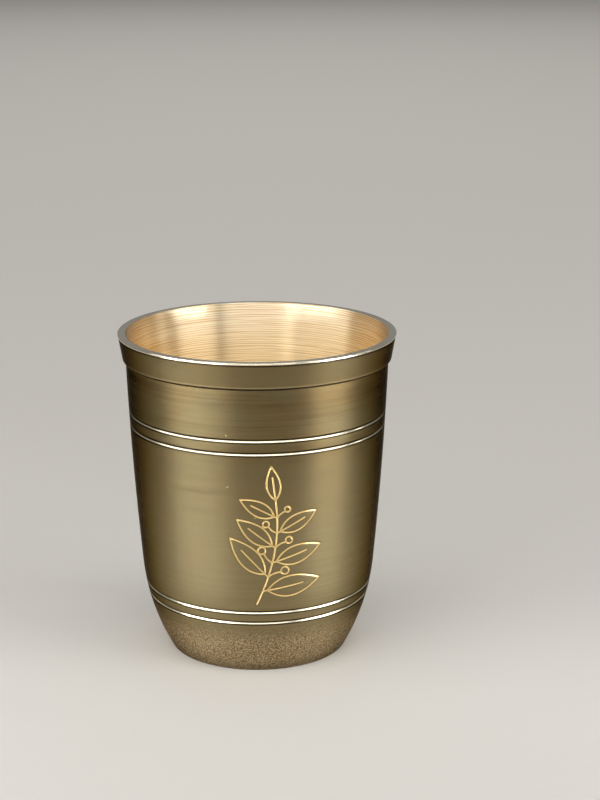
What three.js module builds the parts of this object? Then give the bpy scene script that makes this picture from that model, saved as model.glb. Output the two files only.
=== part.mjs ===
// Bronze tumbler, a two-walled drinking cup turned about the Z axis.
// It stands on Z = 0 with the lip uppermost. All lengths are in millimetres.
//
// The inner cup carries the lip. The collar slides up the inner cup from below and seats under the
// lip, the outer shell slides up after it and seats under the collar, and the base plate goes up into
// the foot of the shell. A ring of solder closes the joint at the rim and the joint at the base.
import * as THREE from "three";

// Overall
const HEIGHT = 89.4;
const LIP_DIAMETER = 76;

// Lip and collar
const LIP_WIDTH = 2.1;
const LIP_THICKNESS = 0.7;
const LIP_ROUND = 0.3;
const LIP_OVERHANG = 0.15;
const COLLAR_HEIGHT = 7.5;
const COLLAR_CHAMFER_HEIGHT = 1;
const COLLAR_PROUD = 0.9;
const COLLAR_EDGE_ROUND = 0.3;

// Outer wall: shoulder under the collar, turn where the wall starts to curve in, foot on the table
const SHOULDER_DIAMETER = 71.8;
const TURN_DIAMETER = 64.4;
const TURN_HEIGHT = 24.8;
const TURN_LEAN_DEGREES = 5.3;
const FOOT_DIAMETER = 48.6;
const FOOT_ROUND = 0.8;

// Turned grooves: the middle of the upper pair below the collar, and of the lower pair above the table
const UPPER_GROOVE_DROP = 15.7;
const UPPER_GROOVE_SPACING = 3.6;
const LOWER_GROOVE_HEIGHT = 17.8;
const LOWER_GROOVE_SPACING = 3.2;
const GROOVE_WIDTH = 0.9;
const GROOVE_DEPTH = 0.35;

// Walls and the inside
const SHELL_WALL = 0.8;
const LINER_WALL = 0.6;
const AIR_GAP = 1.9;
const FLOOR_GAP = 1.9;
const FLOOR_CORNER_RADIUS = 14;
const SPIGOT_LENGTH = 4;

// Base: the shell stands on a ring, and the plate is let in above it
const FOOT_RING_WIDTH = 3;
const PLATE_THICKNESS = 1.6;
const PLATE_RECESS = 0.8;
const PLATE_CHAMFER = 0.2;
const LEDGE_WIDTH = 1.2;
const LEDGE_THICKNESS = 1;

// Fits
const FIT_CLEARANCE = 0.1;
const SEAT_GAP = 0.12;
const SHELL_TOP_LAND = 0.25;
const PLATE_BEVEL = 0.55;
const SOLDER_CLEARANCE = 0.05;

// Facets of the turned surfaces
const SEGMENTS = 64;
const ROUND_STEPS = 3;
const CORNER_STEPS = 6;
const LOWER_WALL_STEPS = 6;
const UPPER_WALL_STEPS = 6;

const lipRadius = LIP_DIAMETER / 2;
const shoulderRadius = SHOULDER_DIAMETER / 2;
const collarFoot = HEIGHT - COLLAR_HEIGHT;
const flangeUnderside = HEIGHT - LIP_THICKNESS;
const boreRadius = shoulderRadius - SHELL_WALL;
const spigotRadius = boreRadius - FIT_CLEARANCE;
const neckRadius = spigotRadius - LINER_WALL;
const shellTop = collarFoot - SEAT_GAP;
const shellBevel = SHELL_WALL - SHELL_TOP_LAND;
const seatRadius = FOOT_DIAMETER / 2 - FOOT_RING_WIDTH;
const plateRadius = seatRadius - FIT_CLEARANCE;
const plateTop = PLATE_RECESS + PLATE_THICKNESS;
const ledgeUnderside = plateTop + SEAT_GAP;
const ledgeTop = ledgeUnderside + LEDGE_THICKNESS;
const floorUnderside = ledgeTop + FLOOR_GAP;
const floorTop = floorUnderside + LINER_WALL;

function point(r, z) {
  return new THREE.Vector2(r, z);
}

// Replaces the corner between two straight edges by an arc of the given radius.
function roundedCorner(before, corner, after, radius) {
  const toBefore = before.clone().sub(corner).normalize();
  const toAfter = after.clone().sub(corner).normalize();
  const halfAngle = Math.acos(toBefore.dot(toAfter)) / 2;
  const setback = radius / Math.tan(halfAngle);
  const start = corner.clone().addScaledVector(toBefore, setback);
  const end = corner.clone().addScaledVector(toAfter, setback);
  const bisector = toBefore.clone().add(toAfter).normalize();
  const centre = corner.clone().addScaledVector(bisector, radius / Math.sin(halfAngle));
  const firstAngle = start.clone().sub(centre).angle();
  let sweep = end.clone().sub(centre).angle() - firstAngle;
  sweep -= 2 * Math.PI * Math.round(sweep / (2 * Math.PI));
  return arc(centre, radius, firstAngle, firstAngle + sweep, ROUND_STEPS);
}

function arc(centre, radius, from, to, steps) {
  const points = [];
  for (let i = 0; i <= steps; i += 1) {
    const angle = from + ((to - from) * i) / steps;
    points.push(point(centre.x + radius * Math.cos(angle), centre.y + radius * Math.sin(angle)));
  }
  return points;
}

// Circle that leaves the turn of the wall at the wall's own lean there and passes through an end point.
const lean = THREE.MathUtils.degToRad(TURN_LEAN_DEGREES);
const turn = point(TURN_DIAMETER / 2, TURN_HEIGHT);
const inward = point(-Math.cos(lean), Math.sin(lean));

function wallCircle(end) {
  const chord = end.clone().sub(turn);
  const radius = chord.lengthSq() / (2 * chord.dot(inward));
  return { centre: turn.clone().addScaledVector(inward, radius), radius };
}

const lowerCircle = wallCircle(point(FOOT_DIAMETER / 2, 0));
const upperCircle = wallCircle(point(shoulderRadius, collarFoot));

// Radius of the outer wall at a height, or of the surface that lies a depth inside it.
function wallRadius(z, depth) {
  const circle = z < TURN_HEIGHT + depth * Math.sin(lean) ? lowerCircle : upperCircle;
  const rise = z - circle.centre.y;
  const reach = Math.sqrt((circle.radius - depth) ** 2 - rise ** 2);
  return circle.centre.x + Math.sign(circle.radius) * reach;
}

function evenly(from, to, steps) {
  return Array.from({ length: steps + 1 }, (_, i) => from + ((to - from) * i) / steps);
}

function groovePair(middle, spacing) {
  return [middle - spacing / 2, middle + spacing / 2];
}

const grooveHeights = [
  ...groovePair(LOWER_GROOVE_HEIGHT, LOWER_GROOVE_SPACING),
  ...groovePair(collarFoot - UPPER_GROOVE_DROP, UPPER_GROOVE_SPACING),
];

// Outer face of the shell from just above the foot to the shoulder, with its V-grooves.
function groovedWall(from, to) {
  const lowerLevels = evenly(from, TURN_HEIGHT, LOWER_WALL_STEPS);
  const upperLevels = evenly(TURN_HEIGHT, to, UPPER_WALL_STEPS).slice(1);
  const isPlain = (z) => grooveHeights.every((groove) => Math.abs(z - groove) > GROOVE_WIDTH);
  const plainLevels = [...lowerLevels, ...upperLevels].filter(isPlain);
  const points = plainLevels.map((z) => point(wallRadius(z, 0), z));
  for (const z of grooveHeights) {
    points.push(point(wallRadius(z - GROOVE_WIDTH / 2, 0), z - GROOVE_WIDTH / 2));
    points.push(point(wallRadius(z, 0) - GROOVE_DEPTH, z));
    points.push(point(wallRadius(z + GROOVE_WIDTH / 2, 0), z + GROOVE_WIDTH / 2));
  }
  return points.sort((a, b) => a.y - b.y);
}

// Inside of the inner cup: a cone from the neck down, and a wider flare from the neck up to the lip.
const lipInnerRadius = lipRadius - LIP_WIDTH;
const linerTurnRadius = TURN_DIAMETER / 2 - SHELL_WALL - AIR_GAP - LINER_WALL;
const coneSlope = (neckRadius - linerTurnRadius) / (collarFoot - TURN_HEIGHT);
const flareSlope = (lipInnerRadius - neckRadius) / COLLAR_HEIGHT;
const coneSecant = Math.hypot(1, coneSlope);

function coneRadius(z) {
  return neckRadius + coneSlope * (z - collarFoot);
}

function flareRadius(z) {
  return neckRadius + flareSlope * (z - collarFoot);
}

function innerCupProfile() {
  const cornerHeight = floorTop + FLOOR_CORNER_RADIUS;
  const centre = point(coneRadius(cornerHeight) - FLOOR_CORNER_RADIUS * coneSecant, cornerHeight);
  const coneAngle = -Math.atan(coneSlope);
  const undersideRadius = FLOOR_CORNER_RADIUS + LINER_WALL;
  const spigotFoot = collarFoot - SPIGOT_LENGTH;
  const coneOuterRadius = coneRadius(spigotFoot) + LINER_WALL * coneSecant;
  const outerEdgeBelow = point(lipRadius, flangeUnderside);
  const outerEdge = point(lipRadius, HEIGHT);
  const innerEdge = point(lipInnerRadius, HEIGHT);
  const neck = point(neckRadius, collarFoot);
  return [
    point(0, floorUnderside),
    ...arc(centre, undersideRadius, -Math.PI / 2, coneAngle, CORNER_STEPS),
    point(coneOuterRadius, spigotFoot - (spigotRadius - coneOuterRadius)),
    point(spigotRadius, spigotFoot),
    point(spigotRadius, collarFoot),
    point(flareRadius(flangeUnderside) + LINER_WALL, flangeUnderside),
    outerEdgeBelow,
    ...roundedCorner(outerEdgeBelow, outerEdge, innerEdge, LIP_ROUND),
    ...roundedCorner(outerEdge, innerEdge, neck, LIP_ROUND),
    neck,
    ...arc(centre, FLOOR_CORNER_RADIUS, coneAngle, -Math.PI / 2, CORNER_STEPS),
    point(0, floorTop),
  ];
}

function collarProfile() {
  const top = flangeUnderside - SEAT_GAP;
  const boreOffset = LINER_WALL + FIT_CLEARANCE;
  const footEdge = point(shoulderRadius, collarFoot);
  const lowerEdge = point(shoulderRadius + COLLAR_PROUD, collarFoot + COLLAR_CHAMFER_HEIGHT);
  const upperEdge = point(lipRadius - LIP_OVERHANG, top);
  return [
    footEdge,
    ...roundedCorner(footEdge, lowerEdge, upperEdge, COLLAR_EDGE_ROUND),
    upperEdge,
    point(flareRadius(top) + boreOffset, top),
    point(flareRadius(collarFoot) + boreOffset, collarFoot),
    footEdge,
  ];
}

function shellProfile() {
  const footCorner = point(FOOT_DIAMETER / 2, 0);
  const aboveFoot = point(wallRadius(2 * FOOT_ROUND, 0), 2 * FOOT_ROUND);
  const seatEdge = point(seatRadius, 0);
  const boreFoot = collarFoot - SPIGOT_LENGTH - SEAT_GAP;
  const inside = evenly(boreFoot, ledgeTop, UPPER_WALL_STEPS + LOWER_WALL_STEPS);
  return [
    seatEdge,
    ...roundedCorner(seatEdge, footCorner, aboveFoot, FOOT_ROUND),
    ...groovedWall(2 * FOOT_ROUND, shellTop),
    point(boreRadius + shellBevel, shellTop),
    point(boreRadius, shellTop - shellBevel),
    point(boreRadius, boreFoot),
    ...inside.map((z) => point(wallRadius(z, SHELL_WALL), z)),
    point(seatRadius - LEDGE_WIDTH, ledgeTop),
    point(seatRadius - LEDGE_WIDTH, ledgeUnderside),
    point(seatRadius, ledgeUnderside),
    seatEdge,
  ];
}

function plateProfile() {
  return [
    point(0, PLATE_RECESS),
    point(plateRadius - PLATE_CHAMFER, PLATE_RECESS),
    point(plateRadius, PLATE_RECESS + PLATE_CHAMFER),
    point(plateRadius, plateTop - PLATE_BEVEL),
    point(plateRadius - PLATE_BEVEL, plateTop),
    point(0, plateTop),
  ];
}

// Three-cornered rings of solder: the square corner lies against the two faces of the joint.
function rimSolderProfile() {
  const leg = shellBevel - SOLDER_CLEARANCE;
  const corner = point(spigotRadius + SOLDER_CLEARANCE, collarFoot - SOLDER_CLEARANCE);
  return [corner, point(corner.x, corner.y - leg), point(corner.x + leg, corner.y), corner];
}

function baseSolderProfile() {
  const leg = PLATE_BEVEL - SOLDER_CLEARANCE;
  const corner = point(seatRadius - SOLDER_CLEARANCE, ledgeUnderside - SOLDER_CLEARANCE);
  return [corner, point(corner.x - leg, corner.y), point(corner.x, corner.y - leg), corner];
}

function turned(name, profile, colour, roughness) {
  const geometry = new THREE.LatheGeometry(profile, SEGMENTS).rotateX(Math.PI / 2);
  const material = new THREE.MeshStandardMaterial({ color: colour, roughness, metalness: 1 });
  const mesh = new THREE.Mesh(geometry, material);
  mesh.name = name;
  return mesh;
}

const darkBronze = 0x6f6142;
const brightBronze = 0xd0a566;
const solder = 0xb5b1a6;

const tumbler = new THREE.Group();
tumbler.name = "bronze_tumbler";
tumbler.add(
  turned("inner_cup", innerCupProfile(), brightBronze, 0.3),
  turned("rim_collar", collarProfile(), darkBronze, 0.35),
  turned("outer_shell", shellProfile(), darkBronze, 0.4),
  turned("base_plate", plateProfile(), darkBronze, 0.45),
  turned("rim_solder_seal", rimSolderProfile(), solder, 0.5),
  turned("base_solder_seal", baseSolderProfile(), solder, 0.5),
);

export default tumbler;
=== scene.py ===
"""Looks of the bronze tumbler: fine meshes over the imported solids, finishes, light and camera."""

import math

import bpy
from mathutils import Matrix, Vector


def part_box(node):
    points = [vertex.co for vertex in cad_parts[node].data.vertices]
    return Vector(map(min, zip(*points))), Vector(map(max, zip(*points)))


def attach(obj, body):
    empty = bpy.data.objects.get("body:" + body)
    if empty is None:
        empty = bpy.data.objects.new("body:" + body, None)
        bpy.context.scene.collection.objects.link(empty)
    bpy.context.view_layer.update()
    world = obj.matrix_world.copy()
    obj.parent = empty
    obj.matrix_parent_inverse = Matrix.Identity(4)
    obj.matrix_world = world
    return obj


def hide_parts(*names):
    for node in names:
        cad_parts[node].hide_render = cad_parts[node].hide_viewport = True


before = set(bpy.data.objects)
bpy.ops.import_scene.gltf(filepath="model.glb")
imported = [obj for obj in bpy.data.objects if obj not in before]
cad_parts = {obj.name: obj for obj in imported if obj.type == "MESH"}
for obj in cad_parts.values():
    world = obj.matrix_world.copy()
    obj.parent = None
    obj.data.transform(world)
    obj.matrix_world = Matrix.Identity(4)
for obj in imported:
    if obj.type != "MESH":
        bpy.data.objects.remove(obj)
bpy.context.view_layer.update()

MM = 0.001
BODY = "root"

# Sizes read from the frame. The collar's top is raised by as much as the lip is thinned.
COLLAR_RISE = 0.2 * MM
cup_low, cup_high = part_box("inner_cup")
collar_low, collar_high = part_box("rim_collar")
_, shell_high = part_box("outer_shell")
plate_low, plate_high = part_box("base_plate")

HEIGHT = cup_high.z
LIP_RADIUS = cup_high.x
FLOOR_UNDERSIDE = cup_low.z
COLLAR_FOOT = collar_low.z
COLLAR_TOP = collar_high.z + COLLAR_RISE
COLLAR_TOP_RADIUS = collar_high.x
SHELL_TOP = shell_high.z
PLATE_RADIUS = plate_high.x
PLATE_UNDERSIDE = plate_low.z
PLATE_TOP = plate_high.z

# Sizes of the turned outlines that the boxes of the frame don't give
SHOULDER_RADIUS = 35.9 * MM
TURN_RADIUS = 32.2 * MM
TURN_HEIGHT = 24.8 * MM
TURN_LEAN = math.radians(5.3)
FOOT_RADIUS = 24.3 * MM
FOOT_ROUND = 0.8 * MM
FOOT_RING_WIDTH = 3.0 * MM
LEDGE_WIDTH = 1.2 * MM
LEDGE_THICKNESS = 1.0 * MM
SEAT_GAP = 0.12 * MM
FIT_CLEARANCE = 0.1 * MM
SHELL_WALL = 0.8 * MM
LINER_WALL = 0.6 * MM
AIR_GAP = 1.9 * MM
FLOOR_CORNER = 14.0 * MM
INSIDE_BEND = 128.0 * MM
SPIGOT_LENGTH = 4.0 * MM
SPIGOT_RADIUS = SHOULDER_RADIUS - SHELL_WALL - FIT_CLEARANCE
LIP_WIDTH = 2.1 * MM
LIP_THICKNESS = 0.5 * MM
LIP_ROUND = 0.24 * MM
COLLAR_CHAMFER = 0.45 * MM
COLLAR_PROUD = 0.82 * MM
COLLAR_EDGE_ROUND = 0.3 * MM
COLLAR_TOP_ROUND = 0.25 * MM
SOLDER_BEVEL = 0.55 * MM
PLATE_CHAMFER = 0.2 * MM

# Grooves: the root lies above the middle, and the edges and the root are eased
GROOVE_HEIGHTS = (16.2 * MM, 19.4 * MM, COLLAR_FOOT - 17.5 * MM, COLLAR_FOOT - 13.9 * MM)
GROOVE_WIDTH = 0.9 * MM
GROOVE_DEPTH = 0.35 * MM
GROOVE_ROOT_RISE = 0.12 * MM
GROOVE_ROOT_EASE = 0.1
GROOVE_EDGE_EASE = 0.05
GROOVE_REACH = 1.1 * GROOVE_WIDTH

# Lines that the tool leaves on the inside and on the foot plate
TOOL_FEED = 0.62 * MM
TOOL_LINE_DEPTH = 0.0015 * MM
FACING_FEED = 1.0 * MM
FACING_LINE_DEPTH = 0.01 * MM

# Engraved sprig on the front wall: the place of its middle, its size, and the line it is cut with
SPRIG_ANGLE = math.radians(8.5)
SPRIG_HEIGHT = 41.0 * MM
SPRIG_WINDOW_ANGLE = math.radians(27.0)
SPRIG_WINDOW_HEIGHT = 20.0 * MM
CUT_WIDTH = 0.66 * MM
CUT_DEPTH = 0.16 * MM
CUT_REACH = 1.0 * MM

# How fine the meshes are
CUP_COLUMNS = 144
COLLAR_COLUMNS = 240
PLATE_COLUMNS = 144
PLAIN_SHELL_COLUMNS = 120
CUT_GRID = 0.2 * MM
FINE_ROW = 0.1 * MM
INSIDE_ROW = 0.2 * MM
PLATE_ROW = 0.25 * MM
COLLAR_ROW = 0.3 * MM
PLAIN_ROW = 1.2 * MM
HIDDEN_ROW = 7 * MM
WELD = 1e-6

# Edges that turn by more than this stay crisp
CRISP_EDGE = math.radians(32.0)

# Camera, as the photograph is taken
PHOTO_HEIGHT = 800
FOCAL_PIXELS = 2000
SENSOR = 36.0
CAMERA_PITCH = math.radians(15.0)
CAMERA_DISTANCE = 550.3 * MM
CAMERA_TARGET = Vector((11.7 * MM, 0.0, HEIGHT - 19.7 * MM))


# Node helpers
def add(tree, kind, inputs=(), **settings):
    """Adds a node with its settings. Inputs go by name or by place, as values or as sockets to link."""
    node = tree.nodes.new(kind)
    for name, value in settings.items():
        setattr(node, name, value)
    pairs = inputs.items() if isinstance(inputs, dict) else enumerate(inputs)
    for key, value in pairs:
        if isinstance(value, bpy.types.NodeSocket):
            tree.links.new(value, node.inputs[key])
        else:
            node.inputs[key].default_value = value
    return node


def maths(tree, operation, *values):
    return add(tree, "ShaderNodeMath", values, operation=operation).outputs[0]


def vector_maths(tree, operation, *values):
    return add(tree, "ShaderNodeVectorMath", values, operation=operation).outputs[0]


def scaled(tree, vector, factor):
    return add(tree, "ShaderNodeVectorMath", {0: vector, "Scale": factor}, operation="SCALE").outputs[0]


def vector(tree, x, y, z=0.0):
    return add(tree, "ShaderNodeCombineXYZ", [x, y, z]).outputs[0]


def parts(tree, given):
    return add(tree, "ShaderNodeSeparateXYZ", [given]).outputs


def round_axis(tree, radius, angle, level):
    """Point at a radius and a level, turned about the axis from the front."""
    x = maths(tree, "MULTIPLY", radius, maths(tree, "SINE", angle))
    toward_back = maths(tree, "MULTIPLY", maths(tree, "COSINE", angle), -1.0)
    return vector(tree, x, maths(tree, "MULTIPLY", radius, toward_back), level)


def stepped(tree, value, low, high):
    """0 at the low value, 1 at the high one, smooth between."""
    ends = {"Value": value, "From Min": low, "From Max": high}
    return add(tree, "ShaderNodeMapRange", ends, interpolation_type="SMOOTHSTEP").outputs[0]


def new_tree(name, kind, inputs, outputs):
    """A node group with named sockets, and the sockets of its input and output nodes."""
    tree = bpy.data.node_groups.new(name, kind)
    for socket_name, socket_type in inputs:
        tree.interface.new_socket(socket_name, in_out="INPUT", socket_type=socket_type)
    for socket_name, socket_type in outputs:
        tree.interface.new_socket(socket_name, in_out="OUTPUT", socket_type=socket_type)
    return tree, tree.nodes.new("NodeGroupInput").outputs, tree.nodes.new("NodeGroupOutput").inputs


GEOMETRY = "NodeSocketGeometry"
NUMBER = "NodeSocketFloat"
COUNT = "NodeSocketInt"
MATERIAL = "NodeSocketMaterial"
OBJECT = "NodeSocketObject"
GEOMETRY_TREE = "GeometryNodeTree"
SHADER_TREE = "ShaderNodeTree"


def run_tree(obj, tree, values):
    """Adds a Geometry Nodes modifier and sets its inputs by their sockets' identifiers."""
    modifier = obj.modifiers.new(tree.name, "NODES")
    modifier.node_group = tree
    for item in tree.interface.items_tree:
        if item.in_out == "INPUT" and item.name in values:
            modifier[item.identifier] = values[item.name]


def made_mesh(obj, name):
    """Turns an object with its modifiers into a plain mesh object of the given name."""
    bpy.context.view_layer.update()
    evaluated = obj.evaluated_get(bpy.context.evaluated_depsgraph_get())
    mesh = bpy.data.meshes.new_from_object(evaluated)
    mesh.name = name
    mesh.set_sharp_from_angle(angle=CRISP_EDGE)
    made = bpy.data.objects.new(name, mesh)
    bpy.context.scene.collection.objects.link(made)
    bpy.data.objects.remove(obj)
    return made


# Outlines
def point(r, z):
    return Vector((r, z))


def arc(centre, radius, start, end, steps):
    angles = [start + (end - start) * i / steps for i in range(steps + 1)]
    return [point(centre.x + radius * math.cos(a), centre.y + radius * math.sin(a)) for a in angles]


def rounded(before, corner, after, radius, steps=5):
    """Arc that replaces the corner between two straight edges."""
    to_before = (before - corner).normalized()
    to_after = (after - corner).normalized()
    half = to_before.angle(to_after) / 2
    start = corner + to_before * (radius / math.tan(half))
    end = corner + to_after * (radius / math.tan(half))
    centre = corner + (to_before + to_after).normalized() * (radius / math.sin(half))
    first = math.atan2(start.y - centre.y, start.x - centre.x)
    last = math.atan2(end.y - centre.y, end.x - centre.x)
    sweep = math.remainder(last - first, 2 * math.pi)
    return arc(centre, radius, first, first + sweep, steps)


def spaced(start, end, step):
    """Points along a straight stretch, both ends included, no further apart than the step."""
    count = max(1, math.ceil((end - start).length / step))
    return [start.lerp(end, i / count) for i in range(count + 1)]


def levels(low, high, step):
    """Heights from low to high, both included, no further apart than the step."""
    count = max(1, math.ceil((high - low) / step))
    return [low + (high - low) * i / count for i in range(count + 1)]


def wall_circle(end):
    """Circle that leaves the turn of the wall at its lean there and passes through an end point."""
    bend = point(TURN_RADIUS, TURN_HEIGHT)
    inward = point(-math.cos(TURN_LEAN), math.sin(TURN_LEAN))
    chord = end - bend
    radius = chord.length_squared / (2 * chord.dot(inward))
    return bend + inward * radius, radius


LOWER_CENTRE, LOWER_RADIUS = wall_circle(point(FOOT_RADIUS, 0))
UPPER_CENTRE, UPPER_RADIUS = wall_circle(point(SHOULDER_RADIUS, COLLAR_FOOT))


def wall_radius(z, depth=0.0):
    """Radius of the outer wall at a height, or of a surface at a depth inside it."""
    lower = z < TURN_HEIGHT + depth * math.sin(TURN_LEAN)
    centre, radius = (LOWER_CENTRE, LOWER_RADIUS) if lower else (UPPER_CENTRE, UPPER_RADIUS)
    return centre.x + math.sqrt((radius - depth) ** 2 - (z - centre.y) ** 2)


def groove_cut(z):
    """Depth of the turned grooves at a height: a short upper flank and a longer lower one."""
    cut = 0.0
    for middle in GROOVE_HEIGHTS:
        rise = z - middle - GROOVE_ROOT_RISE
        flank = GROOVE_WIDTH / 2 - math.copysign(GROOVE_ROOT_RISE, rise)
        below = 1 - math.hypot(rise / flank, GROOVE_ROOT_EASE)
        cut += GROOVE_DEPTH * (below + math.hypot(below, GROOVE_EDGE_EASE)) / 2
    return cut


def in_grooves(z, low, high, fade=0.12):
    """1 between two places across a groove, in groove widths up from its middle, with faded ends."""
    share = 0.0
    for middle in GROOVE_HEIGHTS:
        rise = (z - middle) / GROOVE_WIDTH
        share = max(share, min(1.0, (rise - low) / fade, (high - rise) / fade))
    return max(0.0, share)


def wall_levels(low, high):
    """Heights of the rows of the outer wall: close over the engraving, the grooves and the top."""
    engraved_low = SPRIG_HEIGHT - SPRIG_WINDOW_HEIGHT
    engraved_high = SPRIG_HEIGHT + SPRIG_WINDOW_HEIGHT
    top = high - 0.5 * MM
    rows = levels(low, engraved_low, PLAIN_ROW)
    rows += levels(engraved_low, engraved_high, CUT_GRID)
    rows += levels(engraved_high, top, PLAIN_ROW) + levels(top, high, FINE_ROW)
    plain = [z for z in rows if all(abs(z - g) > GROOVE_REACH for g in GROOVE_HEIGHTS)]
    grooved = [g + z for g in GROOVE_HEIGHTS for z in levels(-GROOVE_REACH, GROOVE_REACH, FINE_ROW)]
    return sorted(set(plain + grooved))


# Geometry Nodes. The marks are values that the rows of an outline carry into the turned mesh.
ROW_MARKS = ("along", "worn", "grime", "bare", "blasted", "polish", "turned")


def attribute(tree, name):
    return add(tree, "GeometryNodeInputNamedAttribute", {"Name": name}, data_type="FLOAT").outputs[0]


def stored(tree, shape, name, value):
    inputs = {"Geometry": shape, "Name": name, "Value": value}
    return add(tree, "GeometryNodeStoreNamedAttribute", inputs, data_type="FLOAT").outputs[0]


def at_row(tree, outline, value, row, kind):
    """Value on the point of the outline that a row of the grid comes from."""
    inputs = {"Geometry": outline, "Value": value, "Index": row}
    return add(tree, "GeometryNodeSampleIndex", inputs, data_type=kind).outputs[0]


def moved(tree, shape, **how):
    return add(tree, "GeometryNodeSetPosition", {"Geometry": shape, **how}).outputs[0]


def along_normal(tree, distance):
    return scaled(tree, add(tree, "GeometryNodeInputNormal").outputs[0], distance)


def finish_tree(tree, shape, material, result):
    shape = add(tree, "GeometryNodeRealizeInstances", [shape]).outputs[0]
    shape = add(tree, "GeometryNodeSetMaterial", {"Geometry": shape, "Material": material}).outputs[0]
    tree.links.new(shape, result[0])


def turned_tree():
    """Turns an outline about the axis. Columns are closer together inside a window of angles."""
    tree, given, result = new_tree(
        "Turned Piece",
        GEOMETRY_TREE,
        [
            ("Outline", GEOMETRY),
            ("Window Centre", NUMBER),
            ("Window Half Angle", NUMBER),
            ("Window Columns", COUNT),
            ("Other Columns", COUNT),
            ("Material", MATERIAL),
        ],
        [("Geometry", GEOMETRY)],
    )
    outline = given["Outline"]
    size = add(tree, "GeometryNodeAttributeDomainSize", [outline], component="MESH")
    rows = size.outputs["Point Count"]
    columns = maths(tree, "ADD", given["Window Columns"], given["Other Columns"])
    vertices = maths(tree, "ADD", columns, 1)
    grid = add(tree, "GeometryNodeMeshGrid", {"Vertices X": vertices, "Vertices Y": rows})
    index = add(tree, "GeometryNodeInputIndex").outputs[0]
    column = maths(tree, "FLOOR", maths(tree, "DIVIDE", maths(tree, "ADD", index, 0.5), rows))
    row = maths(tree, "SUBTRACT", index, maths(tree, "MULTIPLY", column, rows))

    half = given["Window Half Angle"]
    window = maths(tree, "MULTIPLY", half, 2.0)
    rest = maths(tree, "SUBTRACT", 2 * math.pi, window)
    window_step = maths(tree, "DIVIDE", window, given["Window Columns"])
    other_step = maths(tree, "DIVIDE", rest, given["Other Columns"])
    in_window = maths(tree, "MINIMUM", column, given["Window Columns"])
    past_window = maths(tree, "SUBTRACT", column, in_window)
    swept_past = maths(tree, "MULTIPLY", past_window, other_step)
    swept = maths(tree, "MULTIPLY_ADD", in_window, window_step, swept_past)
    angle = maths(tree, "ADD", swept, maths(tree, "SUBTRACT", given["Window Centre"], half))

    position = add(tree, "GeometryNodeInputPosition").outputs[0]
    profile = parts(tree, at_row(tree, outline, position, row, "FLOAT_VECTOR"))
    turned = round_axis(tree, profile["X"], angle, profile["Z"])
    shape = grid.outputs["Mesh"]
    for name in ROW_MARKS:
        shape = stored(tree, shape, name, at_row(tree, outline, attribute(tree, name), row, "FLOAT"))
    shape = moved(tree, shape, Position=turned)
    shape = add(tree, "GeometryNodeMergeByDistance", {"Geometry": shape, "Distance": WELD}).outputs[0]
    shape = add(tree, "GeometryNodeSetShadeSmooth", [shape]).outputs[0]
    finish_tree(tree, shape, given["Material"], result)
    return tree


def uneven(tree, along, scale, detail):
    """Value that drifts along a line."""
    inputs = {"W": along, "Scale": scale, "Detail": detail}
    return add(tree, "ShaderNodeTexNoise", inputs, noise_dimensions="1D").outputs[0]


def turning_lines_tree():
    """Raises the fine rings that the tool leaves on a turned face, uneven in height and spacing."""
    tree, given, result = new_tree(
        "Turning Lines",
        GEOMETRY_TREE,
        [
            ("Geometry", GEOMETRY),
            ("Pitch", NUMBER),
            ("Depth", NUMBER),
            ("Unevenness", NUMBER),
            ("Material", MATERIAL),
        ],
        [("Geometry", GEOMETRY)],
    )
    rings = maths(tree, "DIVIDE", attribute(tree, "along"), given["Pitch"])
    slow = uneven(tree, rings, scale=0.31, detail=1.0)
    quick = uneven(tree, rings, scale=1.7, detail=2.0)
    drift = maths(tree, "MULTIPLY", maths(tree, "SUBTRACT", slow, 0.5), given["Unevenness"])
    phase = maths(tree, "MULTIPLY", maths(tree, "ADD", rings, drift), 2 * math.pi)
    wave = maths(tree, "MULTIPLY", maths(tree, "SINE", phase), slow)
    rough = maths(tree, "MULTIPLY", maths(tree, "SUBTRACT", quick, 0.5), given["Unevenness"])
    raised = maths(tree, "MULTIPLY", maths(tree, "ADD", wave, rough), given["Depth"])
    masked = maths(tree, "MULTIPLY", raised, attribute(tree, "turned"))
    shape = moved(tree, given["Geometry"], Offset=along_normal(tree, masked))
    finish_tree(tree, shape, given["Material"], result)
    return tree


def sprig_tree():
    """Lines of a leafy sprig with berries, laid out flat and wrapped on the outer wall."""
    tree, given, result = new_tree(
        "Sprig Lines",
        GEOMETRY_TREE,
        [
            ("Geometry", GEOMETRY),
            ("Stem Height", NUMBER),
            ("Leaves", COUNT),
            ("Leaf Length", NUMBER),
            ("Leaf Angle", NUMBER),
            ("Berry Stalk", NUMBER),
            ("Berry Angle", NUMBER),
            ("Middle Angle", NUMBER),
            ("Middle Height", NUMBER),
            ("Point Spacing", NUMBER),
        ],
        [("Geometry", GEOMETRY)],
    )
    stem = stem_curve(tree, given["Stem Height"])
    nodes = stem_nodes(tree, stem, given["Leaves"])
    leaves = on_nodes(tree, nodes, leaf_curves(tree), given["Leaf Length"], given["Leaf Angle"])
    stalk = given["Berry Stalk"]
    berries = on_nodes(tree, nodes, berry_curves(tree), stalk, given["Berry Angle"], berry=True)
    flat = add(tree, "GeometryNodeJoinGeometry")
    for drawn in (stem, leaves, berries):
        tree.links.new(drawn, flat.inputs[0])
    real = add(tree, "GeometryNodeRealizeInstances", [flat.outputs[0]]).outputs[0]
    spacing = {"Curve": real, "Length": given["Point Spacing"]}
    fine = add(tree, "GeometryNodeResampleCurve", spacing, mode="LENGTH").outputs[0]
    wrapped = moved(tree, fine, Position=wrapped_position(tree, given))
    lines = add(tree, "GeometryNodeCurveToMesh", [wrapped]).outputs[0]
    tree.links.new(lines, result[0])
    return tree


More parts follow.
